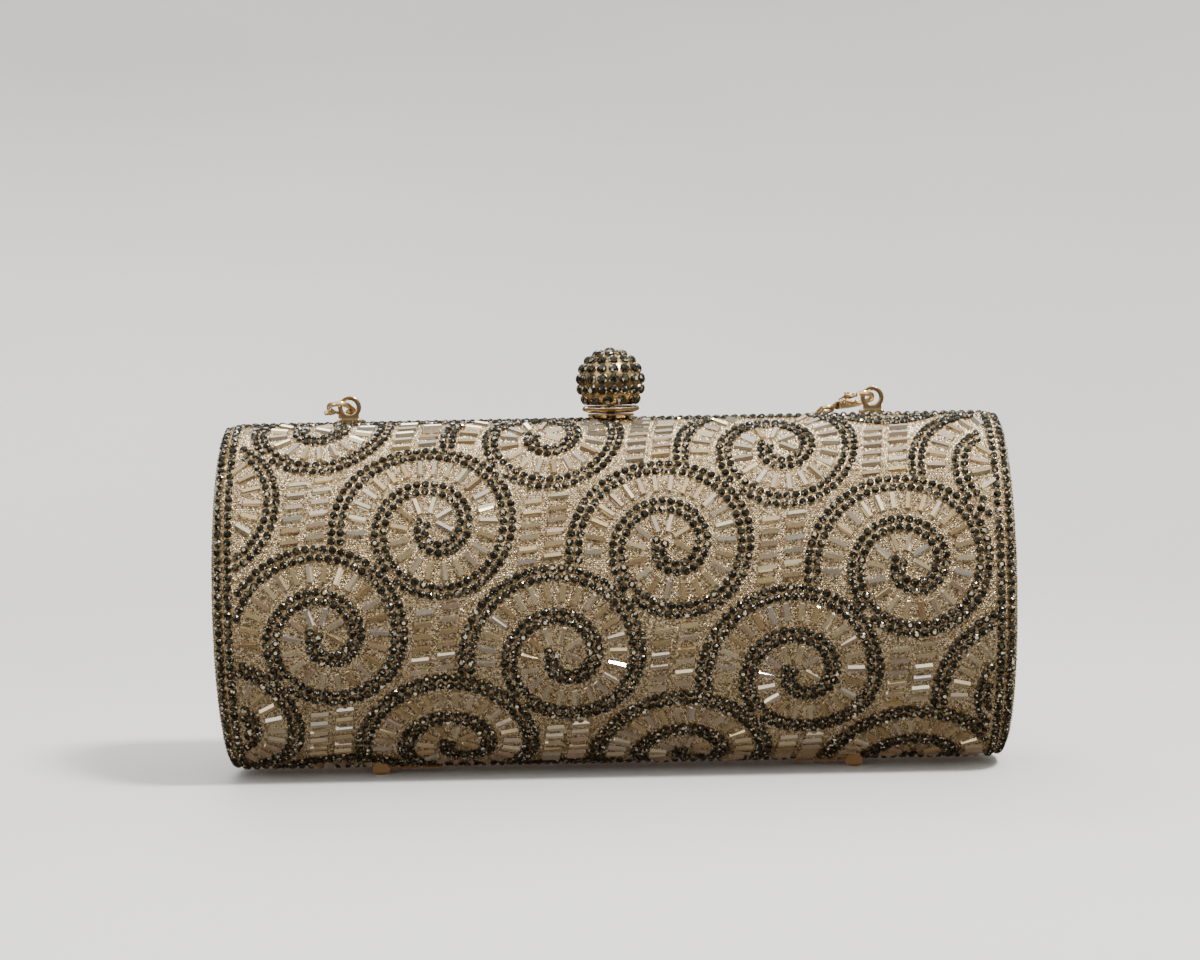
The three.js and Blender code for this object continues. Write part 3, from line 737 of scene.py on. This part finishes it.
def add_lining(half, side):
    """The satin lining, glued to the shell, with soft puffs between its gathers."""
    inner_inset = LINING_INSET + LINING_THICKNESS
    outer = barrel_rows(LINING_INSET, LINING_EDGES[0], LINING_GRID, LINING_END, LINING_WALL_STEPS)
    inner = barrel_rows(inner_inset, LINING_EDGES[1], LINING_GRID, LINING_END, LINING_WALL_STEPS)
    turn = np.arctan2(inner[:, :, 2] - CENTRE_Z, -inner[:, :, 1])
    along = inner[:, :, 0]
    sway = PUFF_SWAY * wave(along, turn, *SWAY_WAVE)
    puff = np.abs(np.sin(along / PUFF_SPACING + sway))
    fullness = 1 - PUFF_VARIETY + PUFF_VARIETY * wave(along, turn, *DEPTH_WAVE)
    fade = np.cos(turn) * PUFF_DEPTH * puff * fullness
    inner[:, :, 1] *= 1 - fade
    inner[:, :, 2] -= (inner[:, :, 2] - CENTRE_Z) * fade
    points, faces = thick_sheet(outer, inner)
    lining = add_mesh(f"{half}_satin", facing(points, side), faces, PAINTS["satin"], SKIN_CREASE)
    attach(lining, f"{half}_half")
    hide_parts(f"{half}_lining")


# ---------------------------------------------------------------- beadwork


def arc_table():
    """Arc length up the outer section from its front middle line, against the section's own angle."""
    turns = np.linspace(0, math.pi / 2, ARC_STEPS)
    y = HALF_DEPTH * np.cos(turns)
    z = HALF_HEIGHT * np.sin(turns)
    steps = np.hypot(np.diff(y), np.diff(z))
    return np.concatenate([[0], np.cumsum(steps)]), turns


ARC_LENGTHS, ARC_TURNS = arc_table()


def on_barrel(s, v, side, spin=None):
    """Origins and axes on a half's outer surface at the unrolled places (s, v), turned there by spin."""
    turn = np.sign(v) * np.interp(np.abs(v), ARC_LENGTHS, ARC_TURNS)
    over = np.clip(np.abs(s) - FLAT_LENGTH, 0, None) / EDGE_RADIUS
    inset = EDGE_RADIUS * (1 - np.cos(over))
    x = np.sign(s) * (np.minimum(np.abs(s), FLAT_LENGTH) + EDGE_RADIUS * np.sin(over))
    y = -(HALF_DEPTH - inset) * np.cos(turn)
    z = CENTRE_Z + (HALF_HEIGHT - inset) * np.sin(turn)
    none = np.zeros_like(turn)
    out = np.stack([none, -np.cos(turn) / HALF_DEPTH, np.sin(turn) / HALF_HEIGHT], axis=1)
    out /= np.linalg.norm(out, axis=1)[:, None]
    right = np.stack([none + 1, none, none], axis=1)
    swing = (np.sign(s) * np.sin(over))[:, None]
    level = np.cos(over)[:, None]
    normal = level * out + swing * right
    along = level * right - swing * out
    up = np.cross(normal, along)
    if spin is not None:
        c, d = np.cos(spin)[:, None], np.sin(spin)[:, None]
        along, up = c * along + d * up, c * up - d * along
    origin = np.stack([x, y, z], axis=1)
    axes = np.stack([along, up, normal], axis=1)
    return facing(origin, side), axes * np.array([side, side, 1])


def swirl_radius(turns):
    return np.maximum(SWIRL_EYE, SWIRL_START + SWIRL_STEP * turns)


def swirl_points(turns, offset):
    """Places round a swirl's centre, after a number of turns, at an offset from its line."""
    angle = math.pi + 2 * math.pi * turns
    radius = swirl_radius(turns) + offset
    return np.stack([radius * np.cos(angle), radius * np.sin(angle)], axis=1)


def evenly_along(low, high, offset, pitch):
    """Turns between low and high that are spaced by the pitch along a swirl's offset line."""
    turns = np.linspace(low, high, LINE_STEPS)
    line = swirl_points(turns, offset)
    along = np.concatenate([[0], np.cumsum(np.linalg.norm(np.diff(line, axis=0), axis=1))])
    count = int(along[-1] // pitch) + 1
    return np.interp(np.arange(count) * pitch, along, turns)


def swirl_centres():
    """Swirl centres that reach the half, the lowest row first."""
    found = []
    for row in SWIRL_ROWS:
        for place in SWIRL_PLACES:
            centre = np.array(SWIRL_ORIGIN) + place * np.array(SWIRL_ACROSS) + row * np.array(SWIRL_DOWN)
            if (np.abs(centre) < SWIRL_REACH).all():
                found.append((row, centre))
    return found


def outer_radius(centre, places):
    """How far a swirl's outer double row reaches towards each place."""
    angle = np.arctan2(places[:, 1] - centre[1], places[:, 0] - centre[0])
    turns = np.mod((angle - math.pi) / (2 * math.pi), 1)
    return swirl_radius(turns + 1)


def inside_swirl(centre, places, margin):
    distance = np.linalg.norm(places - centre, axis=1)
    return distance < outer_radius(centre, places) + margin


def clear_of(places, taken, distance):
    """Which places keep the distance from all those taken."""
    if not len(taken):
        return np.ones(len(places), bool)
    apart = np.linalg.norm(places[:, None, :] - taken[None, :, :], axis=2)
    return apart.min(axis=1) >= distance


def on_field(places):
    """Which places are on the part of the half that the swirls cover."""
    return (np.abs(places[:, 0]) < SWIRL_EDGE) & (np.abs(places[:, 1]) < FIELD_TOP)


def border_stones():
    """The double row down each end, and the row along the top and bottom rims."""
    found = []
    for s in END_ROWS:
        v = np.arange(-RIM_ROW, RIM_ROW + STONE_PITCH / 2, STONE_PITCH)
        for sign in (-1, 1):
            found.append(np.stack([np.full(len(v), sign * s), v], axis=1))
    s = np.arange(-END_ROWS[0] + RIM_PITCH, END_ROWS[0] - RIM_PITCH / 2, RIM_PITCH)
    for sign in (-1, 1):
        found.append(np.stack([s, np.full(len(s), sign * RIM_ROW)], axis=1))
    return np.concatenate(found)


def swirl_stones(centres):
    """The double row of stones along every swirl. A tail stops at the ring of the row below."""
    taken = border_stones()
    for row, centre in centres:
        lower = [c for r, c in centres if r > row]
        for offset in (-ROW_HALF_GAP, ROW_HALF_GAP):
            turns = evenly_along(*SWIRL_TURNS, offset, STONE_PITCH)
            places = centre + swirl_points(turns, offset)
            keep = on_field(places) & clear_of(places, taken, STONE_CLOSEST)
            for other in lower:
                keep &= ~inside_swirl(other, places, 0)
            taken = np.concatenate([taken, places[keep]])
    return taken


def ray_bugles(centres, stones):
    """Bugles square to each swirl's line, between its turns."""
    found = []
    outer = [turns + 1 for turns in RAY_TURNS]
    for row, centre in centres:
        lower = [c for r, c in centres if r > row]
        turns = evenly_along(*outer, -RAY_INSET, RAY_PITCH)
        places = centre + swirl_points(turns, -RAY_INSET)
        keep = on_field(places) & clear_of(places, stones, RAY_CLEARANCE)
        for other in lower:
            keep &= ~inside_swirl(other, places, RAY_CLEARANCE)
        slant = np.arctan2(SWIRL_STEP / (2 * math.pi), swirl_radius(turns) - RAY_INSET)
        spin = math.pi + 2 * math.pi * turns - slant
        found.append(np.column_stack([places, spin])[keep])
    return np.concatenate(found)


def column_bugles(centres, stones):
    """Two leaning columns of level bugles between neighbours of the same row."""
    found = []
    all_centres = [c for _, c in centres]
    for centre in all_centres:
        middle = centre + np.array(SWIRL_ACROSS) / 2
        for offset, rise in zip(COLUMN_OFFSETS, COLUMN_RISES):
            climb = np.arange(-COLUMN_REACH, COLUMN_REACH + 1) * COLUMN_PITCH + rise
            places = np.stack([middle[0] + offset + climb * COLUMN_LEAN, middle[1] + climb], axis=1)
            half = np.array([math.cos(BUGLE_TILT), math.sin(BUGLE_TILT)]) * BUGLE_LENGTH / 2
            keep = on_field(places)
            for share in COLUMN_SPOTS:
                spot = places + half * share
                keep &= clear_of(spot, stones, COLUMN_CLEARANCE)
                for other in all_centres:
                    keep &= ~inside_swirl(other, spot, ROW_HALF_GAP)
            found.append(np.column_stack([places, np.full(len(places), BUGLE_TILT)])[keep])
    return np.concatenate(found)


def filling_seeds(stones, bugles):
    """Seed beads on a jittered grid, wherever no stone and no bugle sits."""
    v = np.arange(-SEED_REACH[1], SEED_REACH[1], SEED_PITCH * SEED_ROW)
    s = np.arange(-SEED_REACH[0], SEED_REACH[0] + SEED_PITCH / 2, SEED_PITCH)
    grid_s, grid_v = np.meshgrid(s, v)
    grid_s[1::2] += SEED_PITCH / 2
    places = np.stack([grid_s.ravel(), grid_v.ravel()], axis=1)
    places += random.uniform(-SEED_JITTER, SEED_JITTER, places.shape) * SEED_PITCH
    keep = np.ones(len(places), bool)
    for s0, v0 in stones:
        near = np.hypot(places[:, 0] - s0, places[:, 1] - v0) < CUP_RADIUS + SEED_CLEARANCE
        keep &= ~near
    for s0, v0, spin in bugles:
        ds = places[:, 0] - s0
        dv = places[:, 1] - v0
        along = np.abs(ds * math.cos(spin) + dv * math.sin(spin))
        across = np.abs(dv * math.cos(spin) - ds * math.sin(spin))
        keep &= (along > BUGLE_LENGTH / 2 + SEED_CLEARANCE) | (across > BUGLE_RADIUS + SEED_CLEARANCE / 2)
    return places[keep]


def stone_template(radius, height, base):
    """A faceted stone: a girdle, two tiers of crown facets and a small flat table."""
    rings = [(radius * STONE_KEEL[0], base - STONE_KEEL[1])]
    rings += [(radius * across, base + height * up) for across, up in STONE_CROWN]
    return ring_stack(rings, STONE_SIDES)


def cup_template(radius, height):
    """The metal setting under a stone."""
    rings = [(radius, CUP_BASE), (radius, height * CUP_WALL), (radius * CUP_LIP, height)]
    return ring_stack(rings, STONE_SIDES)


def ring_stack(rings, sides):
    """A closed stack of rings given as (radius, height), each turned half a side from the one below."""
    points = []
    for level, (radius, z) in enumerate(rings):
        for k in range(sides):
            angle = 2 * math.pi * (k + 0.5 * (level % 2)) / sides
            points.append((radius * math.cos(angle), radius * math.sin(angle), z))
    faces = [tuple(range(sides))[::-1]]
    for level in range(len(rings) - 1):
        low = level * sides
        high = low + sides
        for k in range(sides):
            j = (k + 1) % sides
            if level % 2:
                faces.append((low + k, low + j, high + j))
                faces.append((low + k, high + j, high + k))
            else:
                faces.append((low + k, low + j, high + k))
                faces.append((low + j, high + j, high + k))
    top = (len(rings) - 1) * sides
    faces.append(tuple(range(top, top + sides)))
    return points, faces


def bugle_template():
    """A six-sided cut tube along x, with its ends slightly ground."""
    end = BUGLE_LENGTH / 2
    rings = [
        (BUGLE_RADIUS * BUGLE_END_SHARE, -end),
        (BUGLE_RADIUS, BUGLE_GROUND - end),
        (BUGLE_RADIUS, end - BUGLE_GROUND),
        (BUGLE_RADIUS * BUGLE_END_SHARE, end),
    ]
    points = []
    for radius, x in rings:
        for k in range(BUGLE_SIDES):
            angle = 2 * math.pi * k / BUGLE_SIDES
            points.append((x, radius * math.cos(angle), radius * math.sin(angle) + BUGLE_SEAT))
    faces = [tuple(range(BUGLE_SIDES))[::-1]]
    for level in range(len(rings) - 1):
        low = level * BUGLE_SIDES
        high = low + BUGLE_SIDES
        for k in range(BUGLE_SIDES):
            j = (k + 1) % BUGLE_SIDES
            faces.append((low + k, low + j, high + j, high + k))
    top = (len(rings) - 1) * BUGLE_SIDES
    faces.append(tuple(range(top, top + BUGLE_SIDES)))
    return points, faces


def seed_template():
    """A low dome that smooth shading rounds off."""
    corners = [(SEED_RADIUS, 0), (0, SEED_RADIUS), (-SEED_RADIUS, 0), (0, -SEED_RADIUS)]
    points = [(x, y, SEED_BASE) for x, y in corners] + [(0, 0, SEED_HEIGHT)]
    return points, [(3, 2, 1, 0), (0, 1, 4), (1, 2, 4), (2, 3, 4), (3, 0, 4)]


def tilted(places, most):
    """The same places, each leaning its own way up to most along and across, as set by hand."""
    origin, axes = places
    leans = random.uniform(-1, 1, (len(origin), 2)) * most
    normal = axes[:, 2] + leans[:, :1] * axes[:, 0] + leans[:, 1:] * axes[:, 1]
    normal /= np.linalg.norm(normal, axis=1)[:, None]
    up = np.cross(normal, axes[:, 0])
    up /= np.linalg.norm(up, axis=1)[:, None]
    return origin, np.stack([np.cross(up, normal), up, normal], axis=1)


def add_beadwork(half, side, stones, bugles, seeds):
    body = f"{half}_half"
    stone_spin = random.uniform(0, math.pi, len(stones))
    seed_spin = random.uniform(0, math.pi, len(seeds))
    at_stones = tilted(on_barrel(stones[:, 0], stones[:, 1], side, stone_spin), STONE_LEANS)
    at_bugles = tilted(on_barrel(bugles[:, 0], bugles[:, 1], side, bugles[:, 2]), BUGLE_LEANS)
    at_seeds = on_barrel(seeds[:, 0], seeds[:, 1], side, seed_spin)
    seed_sizes = random.uniform(*SEED_SIZES, len(seeds))
    stone = stone_template(STONE_RADIUS, STONE_HEIGHT - CUP_HEIGHT, CUP_HEIGHT)
    pieces = [
        ("stones", repeated(stone, at_stones), None),
        ("settings", repeated(cup_template(CUP_RADIUS, CUP_HEIGHT), at_stones), CUP_CREASE),
        ("bugles", repeated(bugle_template(), at_bugles), None),
        ("seeds", repeated(seed_template(), at_seeds, seed_sizes), DOME_CREASE),
    ]
    for kind, (points, faces), sharp in pieces:
        made = add_mesh(f"{half}_{kind}", points, faces, PAINTS[kind], sharp)
        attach(made, body)


# ---------------------------------------------------------------- end panels


def panel_crown(y, z, depth, height):
    """How far an end panel bulges, from nothing at its rim."""
    return PANEL_CROWN * np.clip(1 - (y / depth) ** 2 - ((z - CENTRE_Z) / height) ** 2, 0, 1)


def add_end_panels(half, side):
    """The two glitter-covered end panels of a half, and the seed beads on them."""
    origins = []
    axes = []
    for end, sign in (("left", -1), ("right", 1)):
        node = f"{half}_end_panel_{end}"
        low, high = box_mm(node)
        height = (high[2] - low[2]) / 2
        inset = HALF_HEIGHT - height
        depth = HALF_DEPTH - inset
        face = max(abs(low[0]), abs(high[0]))
        back = min(abs(low[0]), abs(high[0]))
        out = sign * side
        curve = half_curve(inset, PANEL_GRID[0])
        share = np.linspace(0, 1, PANEL_GRID[1])[:, None]
        y = PANEL_SEAM + (curve[:, 0] - PANEL_SEAM) * share
        z = np.broadcast_to(curve[:, 1], y.shape)
        outer = np.stack([out * (face + panel_crown(y, z, depth, height)), y, z], axis=2)
        inner = np.stack([np.full(y.shape, out * back), y, z], axis=2)
        points, faces = thick_sheet(outer, inner) if out < 0 else thick_sheet(inner, outer)
        panel = add_mesh(f"{half}_panel_{end}", facing(points, side), faces, PAINTS["cloth"], SKIN_CREASE)
        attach(panel, f"{half}_half")
        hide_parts(node)
        grid_y, grid_z = np.meshgrid(np.arange(-depth, -LAYER_START, SEED_PITCH),
                                     np.arange(-height, height, SEED_PITCH * SEED_ROW))
        grid_y[1::2] += SEED_PITCH / 2
        spots = np.stack([grid_y.ravel(), grid_z.ravel()], axis=1)
        spots += random.uniform(-SEED_JITTER, SEED_JITTER, spots.shape) * SEED_PITCH
        inside = (spots[:, 0] / (depth - SEED_RADIUS)) ** 2 + (spots[:, 1] / (height - SEED_RADIUS)) ** 2 < 1
        spots = spots[inside & (spots[:, 0] < -LAYER_START - SEED_RADIUS)]
        y = spots[:, 0]
        z = spots[:, 1] + CENTRE_Z
        x = out * (face + panel_crown(y, z, depth, height))
        origins.append(facing(np.stack([x, y, z], axis=1), side))
        along = np.array([0, out * side, 0])
        normal = np.array([out * side, 0, 0])
        axes.append(np.broadcast_to([along, (0, 0, 1), normal], (len(spots), 3, 3)))
    places = np.concatenate(origins), np.concatenate(axes)
    points, faces = repeated(seed_template(), places, random.uniform(*SEED_SIZES, len(places[0])))
    seeds = add_mesh(f"{half}_panel_seeds", points, faces, PAINTS["seeds"], DOME_CREASE)
    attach(seeds, f"{half}_half")


# ---------------------------------------------------------------- ball clasp


def ball_places(centre, radius):
    """Origins and axes for the ball's rows of stones."""
    origins = []
    axes = []
    spots = []
    for height, pitch, shift in BALL_ROWS:
        across = math.sqrt(radius ** 2 - height ** 2)
        count = round(2 * math.pi * across / pitch)
        angles = [2 * math.pi * ((k + shift) / count - QUARTER_TURN) for k in range(count)]
        spots += [(angle, height / radius) for angle in angles]
    spots.append((0, 1))
    for angle, rise in spots:
        level = math.sqrt(max(1 - rise ** 2, 0))
        normal = Vector((level * math.cos(angle), level * math.sin(angle), rise))
        along = Vector((-math.sin(angle), math.cos(angle), 0))
        up = normal.cross(along)
        origins.append(tuple(Vector(centre) + normal * radius))
        axes.append([tuple(along), tuple(up), tuple(normal)])
    return np.array(origins), np.array(axes)


def add_ball():
    low, high = box_mm("knob_ball")
    radius = (high[0] - low[0]) / 2
    centre = np.array([0, 0, high[2] - radius])
    bottom = low[2] - centre[2]
    cut = math.acos(-bottom / BALL_CORE)
    turns = np.linspace(cut, math.pi, BALL_STEPS)
    profile = [(0, bottom)] + [(BALL_CORE * math.sin(t), -BALL_CORE * math.cos(t)) for t in turns]
    profile[-1] = (0, BALL_CORE)
    points, faces = turned_solid(profile, BALL_SEGMENTS)
    core = add_mesh("ball_core", points + centre, faces, PAINTS["settings"], BALL_CREASE)
    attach(core, "catch_knob")
    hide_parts("knob_ball")
    places = ball_places(centre, BALL_CORE)
    for name, template, paint, sharp in (
        ("ball_stones", stone_template(BALL_STONE, BALL_STONE_HEIGHT, BALL_CUP_HEIGHT), "stones", None),
        ("ball_settings", cup_template(BALL_CUP, BALL_CUP_HEIGHT), "settings", CUP_CREASE),
    ):
        points, faces = repeated(template, places)
        made = add_mesh(name, points, faces, PAINTS[paint], sharp)
        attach(made, "catch_knob")


# ---------------------------------------------------------------- CAD nodes that stay


def round_off(node):
    """Rounded edges all over, as on a small polished casting."""
    remesh = node.modifiers.new("remesh", "REMESH")
    remesh.mode = "VOXEL"
    remesh.voxel_size = CAST_VOXEL * MM
    remesh.use_smooth_shade = True
    smooth = node.modifiers.new("smooth", "SMOOTH")
    smooth.factor = CAST_EASE
    smooth.iterations = CAST_SMOOTHING


def dress_cad_nodes():
    """A node material and softened edges for every CAD node that still shows."""
    slots = {s["node"]: s["material_slot"] for s in frame["record"]["subparts"]}
    for name, node in frame["nodes"].items():
        if node.hide_render:
            continue
        node.data.materials.clear()
        node.data.materials.append(PAINTS[slots[name]])
        weld = node.modifiers.new("weld", "WELD")
        weld.merge_threshold = WELD_REACH * MM
        if name.startswith(CAST_NODES):
            round_off(node)
            continue
        soften = node.modifiers.new("soften", "BEVEL")
        soften.width = SOFT_EDGE * MM
        soften.segments = SOFT_SEGMENTS
        soften.limit_method = "ANGLE"
        soften.angle_limit = SOFT_ANGLE


# ---------------------------------------------------------------- stage


def add_stage():
    """A round floor that curves slowly up into a wall, seen as one pale sweep from every side."""
    bend = np.linspace(0, math.pi / 2, SWEEP_STEPS)[1:]
    profile = [(SWEEP_FLAT, 0)]
    profile += [(SWEEP_FLAT + SWEEP_BEND * math.sin(t), SWEEP_BEND * (1 - math.cos(t))) for t in bend]
    profile.append((SWEEP_FLAT + SWEEP_BEND, SWEEP_TOP))
    points = []
    for k in range(SWEEP_SEGMENTS):
        angle = 2 * math.pi * k / SWEEP_SEGMENTS
        points += [(r * math.cos(angle), r * math.sin(angle), z) for r, z in profile]
    count = len(profile)
    faces = [tuple(k * count for k in range(SWEEP_SEGMENTS))]
    for k in range(SWEEP_SEGMENTS):
        here = k * count
        there = (k + 1) % SWEEP_SEGMENTS * count
        for i in range(count - 1):
            faces.append((here + i, here + i + 1, there + i + 1, there + i))
    floor = add_mesh("floor", points, faces, PAINTS["floor"], ROUND_CREASE)
    floor.visible_glossy = False


def add_lamp(name, place, size, power):
    data = bpy.data.lights.new(name, "AREA")
    data.energy = power
    data.size = size
    light = bpy.data.objects.new(name, data)
    light.location = place
    light.rotation_mode = "QUATERNION"
    light.rotation_quaternion = (Vector((0, 0, CENTRE_Z * MM)) - Vector(place)).to_track_quat("-Z", "Y")
    bpy.context.scene.collection.objects.link(light)


def add_world():
    """Soft light from a bright ceiling down to a dim warm floor, which is what the bag's gloss shows."""
    world = bpy.data.worlds.new("studio")
    world.use_nodes = True
    tree = world.node_tree
    direction = add_node(tree, "ShaderNodeTexCoord").outputs["Generated"]
    height = add_node(tree, "ShaderNodeSeparateXYZ", {"Vector": direction}).outputs["Z"]
    rise = add_node(tree, "ShaderNodeMapRange", {"Value": height, "From Min": -1}).outputs["Result"]
    shade = ramp(tree, rise, [
        (0.30, (0.06, 0.04, 0.026)),
        (0.46, (0.11, 0.08, 0.06)),
        (0.55, (0.15, 0.145, 0.135)),
        (0.74, (0.25, 0.25, 0.24)),
        (0.83, (0.95, 0.95, 0.93)),
        (0.93, (1.0, 1.0, 0.98)),
        (1.0, (0.6, 0.6, 0.6)),
    ])
    tree.links.new(shade, tree.nodes["Background"].inputs["Color"])
    tree.nodes["Background"].inputs["Strength"].default_value = CEILING_LIGHT
    bpy.context.scene.world = world


add_camera()
add_strap()
centres = swirl_centres()
stones = swirl_stones(centres)
rays = ray_bugles(centres, stones)
columns = column_bugles(centres, stones)
bugles = np.concatenate([rays, columns])
seeds = filling_seeds(stones, bugles)
for half, side in (("front", 1), ("back", -1)):
    add_cover(half, side)
    add_lining(half, side)
    add_beadwork(half, side, stones, bugles, seeds)
    add_end_panels(half, side)
add_ball()
dress_cad_nodes()
add_stage()
add_world()
for lamp in LAMPS:
    add_lamp(*lamp)
